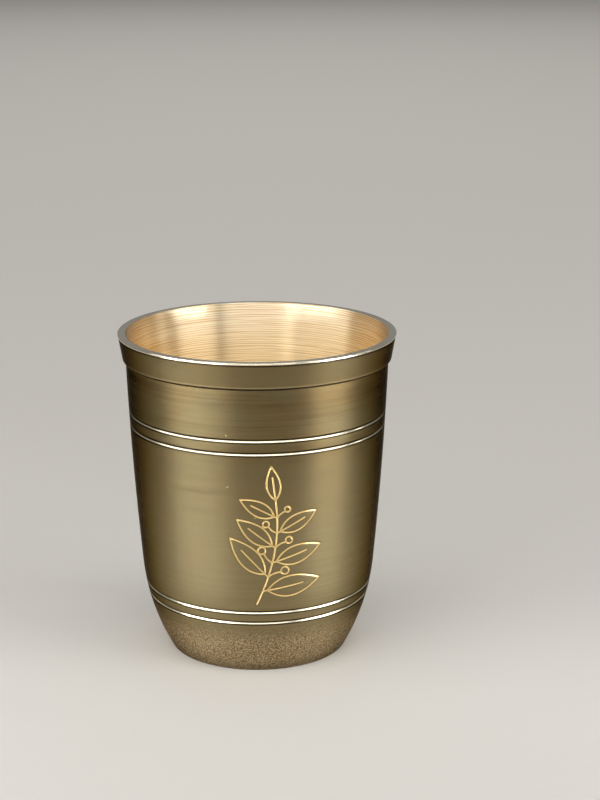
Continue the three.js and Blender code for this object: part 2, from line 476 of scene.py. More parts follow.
def stem_curve(tree, stem_height):
    """Bent stem. Its points are given across and up, in shares of half the height."""
    half = maths(tree, "MULTIPLY", stem_height, 0.5)
    ends = {"Resolution": 48}
    for end, across, up in (("Start", -0.24, -1.0), ("Middle", 0.12, -0.2), ("End", 0.02, 0.52)):
        ends[end] = vector(tree, maths(tree, "MULTIPLY", half, across), maths(tree, "MULTIPLY", half, up))
    return add(tree, "GeometryNodeCurveQuadraticBezier", ends).outputs[0]


def leaf_curves(tree):
    """A pointed leaf of unit length along X: two edges and a midrib."""
    leaf = add(tree, "GeometryNodeJoinGeometry")
    for side in (0.36, -0.36):
        edge = {"Resolution": 24, "Start": (0.08, 0, 0), "Middle": (0.42, side, 0), "End": (1, 0, 0)}
        tree.links.new(add(tree, "GeometryNodeCurveQuadraticBezier", edge).outputs[0], leaf.inputs[0])
    midrib = add(tree, "GeometryNodeCurvePrimitiveLine", {"Start": (0, 0, 0), "End": (0.7, 0, 0)})
    tree.links.new(midrib.outputs[0], leaf.inputs[0])
    return leaf.outputs[0]


def berry_curves(tree):
    """A round berry on a curved stalk of unit length along X."""
    berry = add(tree, "GeometryNodeJoinGeometry")
    bend = {"Resolution": 12, "Start": (0, 0, 0), "Middle": (0.4, 0.15, 0), "End": (0.78, 0, 0)}
    tree.links.new(add(tree, "GeometryNodeCurveQuadraticBezier", bend).outputs[0], berry.inputs[0])
    ring = add(tree, "GeometryNodeCurvePrimitiveCircle", {"Resolution": 24, "Radius": 0.22}).outputs[0]
    placed = add(tree, "GeometryNodeTransform", {"Geometry": ring, "Translation": (1.0, 0, 0)})
    tree.links.new(placed.outputs[0], berry.inputs[0])
    return berry.outputs[0]


def stem_nodes(tree, stem, count):
    """Points along the bearing part of the stem, with their place from 0 to 1, heading and side."""
    bearing = add(tree, "GeometryNodeTrimCurve", {"Curve": stem, "Start": 0.14, "End": 1.0}).outputs[0]
    spread = {"Curve": bearing, "Count": count}
    points = add(tree, "GeometryNodeCurveToPoints", spread, mode="COUNT").outputs
    index = add(tree, "GeometryNodeInputIndex").outputs[0]
    share = maths(tree, "DIVIDE", index, maths(tree, "SUBTRACT", count, 1.0))
    odd = maths(tree, "MODULO", index, 2.0)
    side = maths(tree, "SUBTRACT", maths(tree, "MULTIPLY", odd, 2.0), 1.0)
    tangent = parts(tree, points["Tangent"])
    heading = maths(tree, "ARCTAN2", tangent["Y"], tangent["X"])
    return points["Points"], share, heading, side


def on_nodes(tree, nodes, shape, length, spread, berry=False):
    """Sets a leaf on each node, the last one pointing on. Berries go opposite, on all but the end nodes."""
    points, share, heading, side = nodes
    before_tip = maths(tree, "LESS_THAN", share, 0.99)
    after_first = maths(tree, "GREATER_THAN", share, 0.01)
    turn_side = maths(tree, "MULTIPLY", side, -1.0 if berry else before_tip)
    turn_by = maths(tree, "MULTIPLY_ADD", turn_side, spread, heading)
    rotation = add(tree, "FunctionNodeEulerToRotation", [vector(tree, 0.0, 0.0, turn_by)]).outputs[0]
    size = maths(tree, "MULTIPLY", length, maths(tree, "MULTIPLY_ADD", share, -0.36, 1.0))
    scale = vector(tree, size, size, size)
    placed = {"Points": points, "Instance": shape, "Rotation": rotation, "Scale": scale}
    if berry:
        placed["Selection"] = maths(tree, "MULTIPLY", before_tip, after_first)
    return add(tree, "GeometryNodeInstanceOnPoints", placed).outputs[0]


def wrapped_position(tree, given):
    """Where a point of the flat drawing lies on the barrel of the wall."""
    flat = parts(tree, add(tree, "GeometryNodeInputPosition").outputs[0])
    level = maths(tree, "ADD", flat["Y"], given["Middle Height"])
    rise = maths(tree, "SUBTRACT", level, UPPER_CENTRE.y)
    squared = maths(tree, "SUBTRACT", UPPER_RADIUS ** 2, maths(tree, "MULTIPLY", rise, rise))
    radius = maths(tree, "ADD", maths(tree, "SQRT", squared), UPPER_CENTRE.x)
    angle = maths(tree, "ADD", maths(tree, "DIVIDE", flat["X"], radius), given["Middle Angle"])
    return round_axis(tree, radius, angle, level)


def engraving_tree():
    """Cuts lines into a surface to a round-bottomed depth and marks how close each point is to a line."""
    tree, given, result = new_tree(
        "Engraved Lines",
        GEOMETRY_TREE,
        [
            ("Geometry", GEOMETRY),
            ("Lines", OBJECT),
            ("Line Width", NUMBER),
            ("Line Depth", NUMBER),
            ("Line Reach", NUMBER),
            ("Material", MATERIAL),
        ],
        [("Geometry", GEOMETRY)],
    )
    lines = add(tree, "GeometryNodeObjectInfo", [given["Lines"]]).outputs["Geometry"]
    distance = add(tree, "GeometryNodeProximity", [lines], target_element="EDGES").outputs["Distance"]
    half = maths(tree, "MULTIPLY", given["Line Width"], 0.5)
    cut = stepped(tree, distance, half, maths(tree, "MULTIPLY", half, 0.2))
    away = maths(tree, "DIVIDE", distance, given["Line Reach"])
    closeness = maths(tree, "MAXIMUM", 0.0, maths(tree, "SUBTRACT", 1.0, away))
    shape = stored(tree, given["Geometry"], "cut_closeness", closeness)
    depth = maths(tree, "MULTIPLY", maths(tree, "MULTIPLY", cut, given["Line Depth"]), -1.0)
    shape = moved(tree, shape, Offset=along_normal(tree, depth))
    finish_tree(tree, shape, given["Material"], result)
    return tree


# Shader groups
def object_place(tree):
    return add(tree, "ShaderNodeTexCoord").outputs["Object"]


def turned_grain_group():
    """Fine lines round the axis, as a tool or an abrasive leaves them, broken along their length."""
    tree, given, result = new_tree(
        "Turned Grain",
        SHADER_TREE,
        [("Along", NUMBER), ("Lines per Metre", NUMBER), ("Breaks per Metre", NUMBER)],
        [("Lines", NUMBER)],
    )
    broken = parts(tree, scaled(tree, object_place(tree), given["Breaks per Metre"]))
    lines = maths(tree, "MULTIPLY", given["Along"], given["Lines per Metre"])
    where = vector(tree, broken["X"], broken["Y"], lines)
    noise = {"Vector": where, "Scale": 1.0, "Detail": 3.0, "Roughness": 0.6}
    tree.links.new(add(tree, "ShaderNodeTexNoise", noise).outputs[0], result[0])
    return tree


def patina_cloud_group():
    """Soft uneven patches of patina."""
    tree, given, result = new_tree(
        "Patina Cloud",
        SHADER_TREE,
        [
            ("Patches per Metre", NUMBER),
            ("Flatness", NUMBER),
            ("Detail", NUMBER),
            ("Low", NUMBER),
            ("High", NUMBER),
        ],
        [("Mask", NUMBER)],
    )
    flatten = vector(tree, 1.0, 1.0, given["Flatness"])
    noise = {
        "Vector": vector_maths(tree, "MULTIPLY", object_place(tree), flatten),
        "Scale": given["Patches per Metre"],
        "Detail": given["Detail"],
        "Roughness": 0.55,
    }
    patches = add(tree, "ShaderNodeTexNoise", noise).outputs[0]
    tree.links.new(stepped(tree, patches, given["Low"], given["High"]), result[0])
    return tree


def small_nicks_group():
    """Sparse slim nicks from handling, of uneven size and outline, each turned its own way."""
    tree, given, result = new_tree(
        "Small Nicks",
        SHADER_TREE,
        [
            ("Along", NUMBER),
            ("Radius", NUMBER),
            ("Cells per Metre", NUMBER),
            ("Size", NUMBER),
            ("Share", NUMBER),
            ("Raggedness", NUMBER),
        ],
        [("Mask", NUMBER)],
    )
    place = object_place(tree)
    axes = parts(tree, place)
    angle = maths(tree, "ARCTAN2", axes["X"], maths(tree, "MULTIPLY", axes["Y"], -1.0))
    flat = vector(tree, maths(tree, "MULTIPLY", angle, given["Radius"]), given["Along"])
    noise = {"Vector": place, "Scale": 2500.0, "Detail": 1.0}
    ragged = add(tree, "ShaderNodeTexNoise", noise).outputs["Color"]
    where = vector_maths(tree, "ADD", flat, scaled(tree, ragged, given["Raggedness"]))
    spread_out = {"Vector": where, "Scale": given["Cells per Metre"]}
    cells = add(tree, "ShaderNodeTexVoronoi", spread_out, voronoi_dimensions="2D").outputs
    chance = add(tree, "ShaderNodeSeparateColor", [cells["Color"]]).outputs
    chosen = maths(tree, "LESS_THAN", chance["Red"], given["Share"])
    offset = vector_maths(tree, "SUBTRACT", where, cells["Position"])
    heading = {"Vector": offset, "Angle": maths(tree, "MULTIPLY", chance["Blue"], 2 * math.pi)}
    headed = add(tree, "ShaderNodeVectorRotate", heading, rotation_type="Z_AXIS").outputs[0]
    slim = vector_maths(tree, "MULTIPLY", headed, (1.0, 3.0, 0.0))
    distance = add(tree, "ShaderNodeVectorMath", [slim], operation="LENGTH").outputs["Value"]
    spread = maths(tree, "MULTIPLY_ADD", chance["Green"], chance["Green"], 0.3)
    inside = maths(tree, "LESS_THAN", distance, maths(tree, "MULTIPLY", given["Size"], spread))
    tree.links.new(maths(tree, "MULTIPLY", chosen, inside), result[0])
    return tree


GRAIN = turned_grain_group()
CLOUD = patina_cloud_group()
NICKS = small_nicks_group()

# Colours of the dark wall
OLIVE_PATINA = (0.101, 0.080, 0.039, 1)
BROWN_PATINA = (0.113, 0.069, 0.025, 1)
STAIN = (0.062, 0.038, 0.015, 1)
# Partly thinner patina from handling, partly painted reflection of the lit floor on the lower wall
THIN_PATINA_AND_REFLECTION = (0.266, 0.210, 0.108, 1)
TURNED_STREAK = (0.176, 0.136, 0.066, 1)
GRIT_PIT = (0.135, 0.094, 0.046, 1)
GRIT_GRAIN = (0.455, 0.342, 0.194, 1)
# Partly rubbing wear, partly painted highlight: on the collar's lower edge it paints the light line of the
# edge
RUBBED_EDGE_AND_HIGHLIGHT = (0.42, 0.33, 0.175, 1)
NICK = (0.62, 0.50, 0.29, 1)
# Painted shade: dark colour laid in the seams, under the lip, beside the grooves and at the foot
SHADE_PAINT = (0.025, 0.018, 0.010, 1)
# Partly cut metal, partly painted highlight: laid only on the lower, upward-facing flank of each groove
BARE_GROOVE_AND_HIGHLIGHT = (0.82, 0.74, 0.57, 1)
CUT_EDGE_DARK = (0.050, 0.032, 0.014, 1)
CUT_FLOOR = (0.64, 0.46, 0.19, 1)
PATINA_SHEEN = (0.12, 0.11, 0.09, 1)

# Colours of the inside and the lip
DEEP_GOLD = (0.925, 0.735, 0.435, 1)
BROWN_GOLD = (0.89, 0.69, 0.39, 1)
PALE_GOLD = (0.93, 0.82, 0.61, 1)
# Partly the tool's rings, partly painted shade standing in for the rings' reflections
RING_PAINTED_SHADE = (0.71, 0.50, 0.255, 1)
LIP_FACE = (0.76, 0.69, 0.54, 1)

# Colours of the solder and the floor
PALE_SOLDER = (0.46, 0.45, 0.42, 1)
DARK_SOLDER = (0.36, 0.35, 0.33, 1)
PALE_FLOOR = (0.52, 0.496, 0.455, 1)

# Where the wall is lighter: most at the turn of the wall, from thinner patina and a painted reflection of
# the lit floor, and some on the collar from handling
THIN_AND_REFLECTION_FROM = 24.0 * MM
THIN_AND_REFLECTION_AT_TURN = 0.92
THIN_ON_COLLAR = 0.34

# How far down from the lip the inside goes from pale to deep
PALE_MOUTH = 17 * MM

# Height of the grain in the finishes, and the direction of its sheen, round the axis
SATIN_BUMP = 3e-6
INSIDE_BUMP = 4e-6
GRIT_TO_SATIN = 16.0
ROUND_AXIS = 0.25


# Finishes
def new_finish(name):
    material = bpy.data.materials.new(name)
    material.use_nodes = True
    tree = material.node_tree
    return material, tree, tree.nodes["Principled BSDF"]


def grain(tree, along, lines, breaks):
    """Turned lines: how many in a metre, and how many breaks in a metre."""
    values = {"Along": along, "Lines per Metre": lines, "Breaks per Metre": breaks}
    return add(tree, "ShaderNodeGroup", values, node_tree=GRAIN).outputs["Lines"]


def cloud(tree, patches, flatness, detail, low, high):
    """Mask of patches: how many in a metre, how flat, how detailed, and where they start and are full."""
    values = {"Patches per Metre": patches, "Flatness": flatness, "Detail": detail, "Low": low, "High": high}
    return add(tree, "ShaderNodeGroup", values, node_tree=CLOUD).outputs["Mask"]


def nicks(tree, along):
    values = {
        "Along": along,
        "Radius": 35.0 * MM,
        "Cells per Metre": 130.0,
        "Size": 0.45 * MM,
        "Share": 0.11,
        "Raggedness": 0.3 * MM,
    }
    return add(tree, "ShaderNodeGroup", values, node_tree=NICKS).outputs["Mask"]


def mark(tree, name):
    return add(tree, "ShaderNodeAttribute", attribute_name=name).outputs["Fac"]


def height(tree):
    return parts(tree, object_place(tree))["Z"]


def mixed(tree, share, first, second):
    return add(tree, "ShaderNodeMix", {0: share, 6: first, 7: second}, data_type="RGBA").outputs[2]


def partly(tree, mask, share, first, second):
    """Goes from the first colour to a share of the second where the mask is full."""
    return mixed(tree, maths(tree, "MULTIPLY", mask, share), first, second)


def between(tree, value, low, high):
    return add(tree, "ShaderNodeMapRange", {"Value": value, "To Min": low, "To Max": high}).outputs[0]


def bumped(tree, raised, distance):
    inputs = {"Strength": 1.0, "Distance": distance, "Height": raised}
    return add(tree, "ShaderNodeBump", inputs).outputs[0]


def thinning_and_reflection_share(tree):
    """How much the wall is lightened: thinner patina from handling, and on the lower wall a painted
    reflection of the lit floor as well.
    """
    fading = stepped(tree, height(tree), THIN_AND_REFLECTION_FROM, COLLAR_FOOT)
    lower_wall = maths(tree, "MULTIPLY_ADD", fading, -THIN_AND_REFLECTION_AT_TURN, THIN_AND_REFLECTION_AT_TURN)
    on_collar = maths(tree, "GREATER_THAN", height(tree), COLLAR_FOOT)
    return maths(tree, "MAXIMUM", lower_wall, maths(tree, "MULTIPLY", on_collar, THIN_ON_COLLAR))


def patina_colour(tree, lines):
    """Cloudy, stained patina, lighter from handling and, towards the turn, from a painted reflection of the
    lit floor, streaked by the turned lines.
    """
    clouds = cloud(tree, 42.0, flatness=1.6, detail=5.0, low=0.36, high=0.64)
    stains = cloud(tree, 80.0, flatness=5.0, detail=5.0, low=0.46, high=0.72)
    patina = mixed(tree, clouds, OLIVE_PATINA, BROWN_PATINA)
    stained = partly(tree, stains, 0.45, patina, STAIN)
    thinned_and_lit = mixed(tree, thinning_and_reflection_share(tree), stained, THIN_PATINA_AND_REFLECTION)
    return mixed(tree, between(tree, lines, 0.1, 0.6), thinned_and_lit, TURNED_STREAK)


def engraved_colour(tree, colour):
    """Darker colour along the edges of the engraved lines, and metal cut clean of patina on their floor."""
    closeness = mark(tree, "cut_closeness")
    half_width = CUT_WIDTH / 2 / CUT_REACH
    edge = stepped(tree, closeness, 0.92 - half_width, 0.98 - half_width)
    bottom = stepped(tree, closeness, 1.04 - half_width, 1.12 - half_width)
    return mixed(tree, bottom, partly(tree, edge, 0.7, colour, CUT_EDGE_DARK), CUT_FLOOR)


def dark_bronze():
    """Satin-turned wall under a dark olive-brown patina, with rubbing wear and a painted highlight on its
    edges, painted shade in the seams, beside the grooves and at the foot, and the patina cut away in the
    grooves and lines, the grooves' lower flanks as a painted highlight.
    """
    material, tree, shader = new_finish("dark_bronze")
    along = mark(tree, "along")
    blasted = mark(tree, "blasted")
    bare = mark(tree, "bare")
    fine = grain(tree, along, lines=9000.0, breaks=60.0)
    coarse = grain(tree, along, lines=1600.0, breaks=14.0)
    both = maths(tree, "MULTIPLY_ADD", coarse, 0.6, maths(tree, "MULTIPLY", fine, 0.4))
    lines = stepped(tree, both, 0.3, 0.7)
    grit = cloud(tree, 3000.0, flatness=1.0, detail=1.0, low=0.35, high=0.68)

    pitted = mixed(tree, blasted, patina_colour(tree, lines), GRIT_PIT)
    gritty = partly(tree, grit, blasted, pitted, GRIT_GRAIN)
    # Rubbing wear at the foot; along the collar's lower edge a painted edge highlight as well
    rubbed_and_highlit = partly(tree, mark(tree, "worn"), 0.6, gritty, RUBBED_EDGE_AND_HIGHLIGHT)
    nicked = partly(tree, nicks(tree, along), 0.6, rubbed_and_highlit, NICK)
    # Painted shade: darkens the seams, the line under the lip, the groove flanks and the foot
    with_painted_shade = partly(tree, mark(tree, "grime"), 0.85, nicked, SHADE_PAINT)
    # Groove flanks: cut metal, with a painted highlight on the lower flank
    bright = mixed(tree, bare, with_painted_shade, BARE_GROOVE_AND_HIGHLIGHT)
    tree.links.new(engraved_colour(tree, bright), shader.inputs["Base Color"])

    satin = between(tree, lines, 0.31, 0.42)
    matte = maths(tree, "MULTIPLY_ADD", blasted, 0.12, satin)
    tree.links.new(maths(tree, "MULTIPLY_ADD", bare, -0.14, matte), shader.inputs["Roughness"])
    raised = maths(tree, "MULTIPLY_ADD", grit, maths(tree, "MULTIPLY", blasted, GRIT_TO_SATIN), lines)
    tree.links.new(bumped(tree, raised, SATIN_BUMP), shader.inputs["Normal"])
    shader.inputs["Metallic"].default_value = 1.0
    shader.inputs["Specular Tint"].default_value = PATINA_SHEEN
    shader.inputs["Anisotropic"].default_value = 0.5
    shader.inputs["Anisotropic Rotation"].default_value = ROUND_AXIS
    return material


def bright_bronze():
    """Gold-coloured inside with the lines of the turning tool, their dark rings partly painted shade for the
    rings' reflections, paler near the mouth, and the smooth lip.
    """
    material, tree, shader = new_finish("bright_bronze")
    along = mark(tree, "along")
    lip = mark(tree, "polish")
    fine = grain(tree, along, lines=6000.0, breaks=30.0)
    wander = grain(tree, along, lines=350.0, breaks=22.0)
    rings = grain(tree, along, lines=4200.0, breaks=30.0)
    passes = maths(tree, "MULTIPLY_ADD", along, 1 / TOOL_FEED, maths(tree, "MULTIPLY", wander, 3.0))
    feed = maths(tree, "SINE", maths(tree, "MULTIPLY", passes, 2 * math.pi))
    painted_ring_shade = stepped(tree, maths(tree, "MULTIPLY_ADD", feed, 0.13, rings), 0.34, 0.60)

    clouds = cloud(tree, 70.0, flatness=2.0, detail=4.0, low=0.3, high=0.75)
    deep = mixed(tree, clouds, DEEP_GOLD, BROWN_GOLD)
    near_mouth = stepped(tree, height(tree), HEIGHT - PALE_MOUTH, HEIGHT)
    gold = mixed(tree, near_mouth, deep, PALE_GOLD)
    streaked = mixed(tree, painted_ring_shade, RING_PAINTED_SHADE, gold)
    tree.links.new(mixed(tree, lip, streaked, LIP_FACE), shader.inputs["Base Color"])

    satin = between(tree, fine, 0.33, 0.45)
    tree.links.new(maths(tree, "MULTIPLY_ADD", lip, -0.19, satin), shader.inputs["Roughness"])
    raised = maths(tree, "ADD", fine, rings)
    tree.links.new(bumped(tree, raised, INSIDE_BUMP), shader.inputs["Normal"])
    shader.inputs["Metallic"].default_value = 1.0
    shader.inputs["Anisotropic"].default_value = 0.97
    shader.inputs["Anisotropic Rotation"].default_value = ROUND_AXIS
    return material


def tin_solder():
    """Dull grey solder with a slightly frosted skin."""
    material, tree, shader = new_finish("tin_solder")
    frost = cloud(tree, 1500.0, flatness=1.0, detail=2.0, low=0.3, high=0.7)
    tree.links.new(mixed(tree, frost, PALE_SOLDER, DARK_SOLDER), shader.inputs["Base Color"])
    tree.links.new(between(tree, frost, 0.38, 0.55), shader.inputs["Roughness"])
    shader.inputs["Metallic"].default_value = 1.0
    return material


# Pieces
TURNED = turned_tree()
TURNING_LINES = turning_lines_tree()
SPRIG = sprig_tree()
ENGRAVING = engraving_tree()


def outline_object(name, rows, marks):
    """Outline in the XZ plane as a chain of edges, with marks and running length on its points."""
    mesh = bpy.data.meshes.new(name)
    edges = [(i, i + 1) for i in range(len(rows) - 1)]
    mesh.from_pydata([(row.x, 0.0, row.y) for row in rows], edges, [])
    along = [0.0]
    for first, second in zip(rows, rows[1:]):
        along.append(along[-1] + (second - first).length)
    values = {"along": along, **{key: [rule(row) for row in rows] for key, rule in marks.items()}}
    for key in ROW_MARKS:
        layer = mesh.attributes.new(key, "FLOAT", "POINT")
        layer.data.foreach_set("value", values.get(key, [0.0] * len(rows)))
    obj = bpy.data.objects.new(name, mesh)
    bpy.context.scene.collection.objects.link(obj)
    return obj


def turn(obj, material, columns):
    """Turns an outline with even columns: the window takes the front half."""
    values = {
        "Window Centre": 0.0,
        "Window Half Angle": math.pi / 2,
        "Window Columns": columns // 2,
        "Other Columns": columns // 2,
        "Material": material,
    }
    run_tree(obj, TURNED, values)


def raise_lines(obj, material, pitch, depth, unevenness):
    values = {"Pitch": pitch, "Depth": depth, "Unevenness": unevenness, "Material": material}
    run_tree(obj, TURNING_LINES, values)


def hand_over(piece, node):
    """Puts a piece in the place of a node of the frame."""
    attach(piece, BODY)
    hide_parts(node)


def near(value, edge, reach):
    """1 at an edge, falling to 0 a reach away from it."""
    return max(0.0, 1 - abs(value - edge) / reach)


def drinking_cup(finish):
    """The inner cup with its flat lip, turned smooth outside and left with fine tool lines inside."""
    floor_top = FLOOR_UNDERSIDE + LINER_WALL
    neck = point(SPIGOT_RADIUS - LINER_WALL, COLLAR_FOOT)
    turn_radius = TURN_RADIUS - SHELL_WALL - AIR_GAP - LINER_WALL
    slope = (neck.x - turn_radius) / (COLLAR_FOOT - TURN_HEIGHT)
    secant = math.hypot(1, slope)
    corner_height = floor_top + FLOOR_CORNER
    corner_radius = neck.x + slope * (corner_height - COLLAR_FOOT) - FLOOR_CORNER * secant
    centre = point(corner_radius, corner_height)
    cone_angle = -math.atan(slope)
    spigot_foot = COLLAR_FOOT - SPIGOT_LENGTH
    cone_outer = neck.x - slope * SPIGOT_LENGTH + LINER_WALL * secant
    flange = HEIGHT - LIP_THICKNESS
    lip_inner = LIP_RADIUS - LIP_WIDTH
    flare = (lip_inner - neck.x) / (HEIGHT - COLLAR_FOOT)
    below_lip = point(LIP_RADIUS, flange)
    outer_edge = point(LIP_RADIUS, HEIGHT)
    inner_edge = point(lip_inner, HEIGHT)
    mouth = rounded(outer_edge, inner_edge, neck, LIP_ROUND)
    outside = [
        point(0, FLOOR_UNDERSIDE),
        *arc(centre, FLOOR_CORNER + LINER_WALL, -math.pi / 2, cone_angle, 12),
        point(cone_outer, spigot_foot - (SPIGOT_RADIUS - cone_outer)),
        point(SPIGOT_RADIUS, spigot_foot),
        point(SPIGOT_RADIUS, COLLAR_FOOT),
        point(neck.x + flare * (flange - COLLAR_FOOT) + LINER_WALL, flange),
        below_lip,
        *rounded(below_lip, outer_edge, inner_edge, LIP_ROUND),
        *mouth,
    ]
    floor_arc = arc(centre, FLOOR_CORNER, cone_angle, -math.pi / 2, 110)
    bend = rounded(mouth[-1], neck, floor_arc[0], INSIDE_BEND, 60)
    inside = [
        *spaced(mouth[-1], bend[0], INSIDE_ROW)[1:],
        *bend[1:],
        *spaced(bend[-1], floor_arc[0], INSIDE_ROW)[1:],
        *floor_arc[1:],
        *spaced(floor_arc[-1], point(0, floor_top), INSIDE_ROW)[1:],
    ]
    rows = outside + inside
    on_lip = {id(row) for row in rows if row.y > flange and row.x > lip_inner + 0.05 * MM}
    within = {id(row) for row in inside[6:]}
    marks = {
        "polish": lambda row: float(id(row) in on_lip),
        "turned": lambda row: float(id(row) in within),
    }
    obj = outline_object("drinking_cup_outline", rows, marks)
    turn(obj, finish, CUP_COLUMNS)
    raise_lines(obj, finish, TOOL_FEED, TOOL_LINE_DEPTH, unevenness=0.6)
    hand_over(made_mesh(obj, "drinking_cup"), "inner_cup")


def collar_band(finish):
    """The flared band under the lip, chamfered in at its foot."""
    neck = SPIGOT_RADIUS - LINER_WALL
    flare = (LIP_RADIUS - LIP_WIDTH - neck) / (HEIGHT - COLLAR_FOOT)
    offset = LINER_WALL + FIT_CLEARANCE
    foot = point(SHOULDER_RADIUS, COLLAR_FOOT)
    lower = point(SHOULDER_RADIUS + COLLAR_PROUD, COLLAR_FOOT + COLLAR_CHAMFER)
    upper = point(COLLAR_TOP_RADIUS, COLLAR_TOP)
    bore_top = point(neck + flare * (COLLAR_TOP - COLLAR_FOOT) + offset, COLLAR_TOP)
    lower_edge = rounded(foot, lower, upper, COLLAR_EDGE_ROUND, 10)
    upper_edge = rounded(lower, upper, bore_top, COLLAR_TOP_ROUND)
    face = spaced(lower_edge[-1], upper_edge[0], COLLAR_ROW)[1:-1]
    bore_foot = point(neck + offset, COLLAR_FOOT)
    rows = [foot, *lower_edge, *face, *upper_edge, bore_top, bore_foot, foot]
    marks = {
        # Painted highlight line along the collar's lower edge, with rubbing wear there
        "worn": lambda row: near(row.y, lower.y + 0.15 * MM, 0.4 * MM),
        # Painted shadow lines: at the seam of the collar's foot and under the lip's overhang
        "grime": lambda row: max(
            near(row.y, COLLAR_FOOT, 0.15 * MM),
            1.6 * near(row.y, COLLAR_TOP - 0.1 * MM, 0.4 * MM),
        ),
    }
    obj = outline_object("collar_band_outline", rows, marks)
    turn(obj, finish, COLLAR_COLUMNS)
    hand_over(made_mesh(obj, "collar_band"), "rim_collar")


def sprig_lines():
    holder = bpy.data.objects.new("sprig_lines", bpy.data.meshes.new("sprig_lines"))
    bpy.context.scene.collection.objects.link(holder)
    values = {
        "Stem Height": 38.0 * MM,
        "Leaves": 7,
        "Leaf Length": 16.0 * MM,
        "Leaf Angle": math.radians(60.0),
        "Berry Stalk": 5.2 * MM,
        "Berry Angle": math.radians(52.0),
        "Middle Angle": SPRIG_ANGLE,
        "Middle Height": SPRIG_HEIGHT,
        "Point Spacing": 0.25 * MM,
    }
    run_tree(holder, SPRIG, values)
    return made_mesh(holder, "sprig_lines")


def grooved_shell(finish):
    """The outer shell: barrelled, grooved and engraved wall, curved in to a flat foot ring."""
    seat = FOOT_RADIUS - FOOT_RING_WIDTH
    ledge = PLATE_TOP + SEAT_GAP
    ledge_top = ledge + LEDGE_THICKNESS
    bore = SHOULDER_RADIUS - SHELL_WALL
    bore_foot = COLLAR_FOOT - SPIGOT_LENGTH - SEAT_GAP
    foot_edge = point(FOOT_RADIUS, 0)
    wall_foot = 2 * FOOT_ROUND
    seat_edge = point(seat, 0)
    foot_round = rounded(seat_edge, foot_edge, point(wall_radius(wall_foot), wall_foot), FOOT_ROUND, 8)
    wall = [point(wall_radius(z) - groove_cut(z), z) for z in wall_levels(wall_foot, SHELL_TOP)]
    inside = [point(wall_radius(z, SHELL_WALL), z) for z in levels(ledge_top, bore_foot, HIDDEN_ROW)]
    rows = [
        seat_edge,
        *foot_round,
        *wall,
        point(bore + SOLDER_BEVEL, SHELL_TOP),
        point(bore, SHELL_TOP - SOLDER_BEVEL),
        point(bore, bore_foot),
        *reversed(inside),
        point(seat - LEDGE_WIDTH, ledge_top),
        point(seat - LEDGE_WIDTH, ledge),
        point(seat, ledge),
        seat_edge,
    ]
    blast_top = GROOVE_HEIGHTS[0] - 0.6 * GROOVE_WIDTH
    blast_fade = 6.0 * MM
    marks = {
        "worn": lambda row: near(row.y, 0.2 * MM, 0.3 * MM),
        # Painted shade: a shadow line at the joint under the collar, a painted contact shadow at the foot,
        # and dark lines above and below each groove's bright flank
        "grime": lambda row: max(
            near(row.y, SHELL_TOP, 0.15 * MM),
            0.6 * near(row.y, 0.0, 3.5 * MM),
            in_grooves(row.y, -0.02, 0.66),
            in_grooves(row.y, -0.96, -0.40),
        ),
        # Painted highlight on each groove's lower flank, where the metal is also cut clean
        "bare": lambda row: in_grooves(row.y, -0.44, -0.02),
        "blasted": lambda row: min(1.0, max(0.0, (blast_top - row.y) / blast_fade)),
    }
    obj = outline_object("grooved_shell_outline", rows, marks)
    window_width = 2 * SPRIG_WINDOW_ANGLE * wall_radius(SPRIG_HEIGHT)
    window = {
        "Window Centre": SPRIG_ANGLE,
        "Window Half Angle": SPRIG_WINDOW_ANGLE,
        "Window Columns": round(window_width / CUT_GRID),
        "Other Columns": PLAIN_SHELL_COLUMNS,
        "Material": finish,
    }
    run_tree(obj, TURNED, window)
    lines = sprig_lines()
    cut = {
        "Lines": lines,
        "Line Width": CUT_WIDTH,
        "Line Depth": CUT_DEPTH,
        "Line Reach": CUT_REACH,
        "Material": finish,
    }
    run_tree(obj, ENGRAVING, cut)
    piece = made_mesh(obj, "grooved_shell")
    bpy.data.objects.remove(lines)
    hand_over(piece, "outer_shell")


def foot_plate(finish):
    """The disc let into the foot, faced on the lathe."""
    faced_radius = PLATE_RADIUS - PLATE_CHAMFER
    rows = [
        *spaced(point(0, PLATE_UNDERSIDE), point(faced_radius, PLATE_UNDERSIDE), PLATE_ROW),
        point(PLATE_RADIUS, PLATE_UNDERSIDE + PLATE_CHAMFER),
        point(PLATE_RADIUS, PLATE_TOP - SOLDER_BEVEL),
        point(PLATE_RADIUS - SOLDER_BEVEL, PLATE_TOP),
        point(0, PLATE_TOP),
    ]
    face = PLATE_UNDERSIDE + 0.01 * MM
    lined_radius = PLATE_RADIUS - 0.5 * MM
    marks = {"turned": lambda row: float(row.y < face and row.x < lined_radius)}
    obj = outline_object("foot_plate_outline", rows, marks)
    turn(obj, finish, PLATE_COLUMNS)
    raise_lines(obj, finish, FACING_FEED, FACING_LINE_DEPTH, unevenness=0.8)
    hand_over(made_mesh(obj, "foot_plate"), "base_plate")


def solder_seals(finish):
    for name in ("rim_solder_seal", "base_solder_seal"):
        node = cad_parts[name]
        node.data.materials.clear()
        node.data.materials.append(finish)


# Studio
FLOOR_REACH = 6.0
FLOOR_ROUGHNESS = 0.7
WORLD_GREY = (0.27, 0.27, 0.27, 1)
WHITE = (1, 1, 1)
DAYLIGHT = (0.88, 0.925, 1.0)

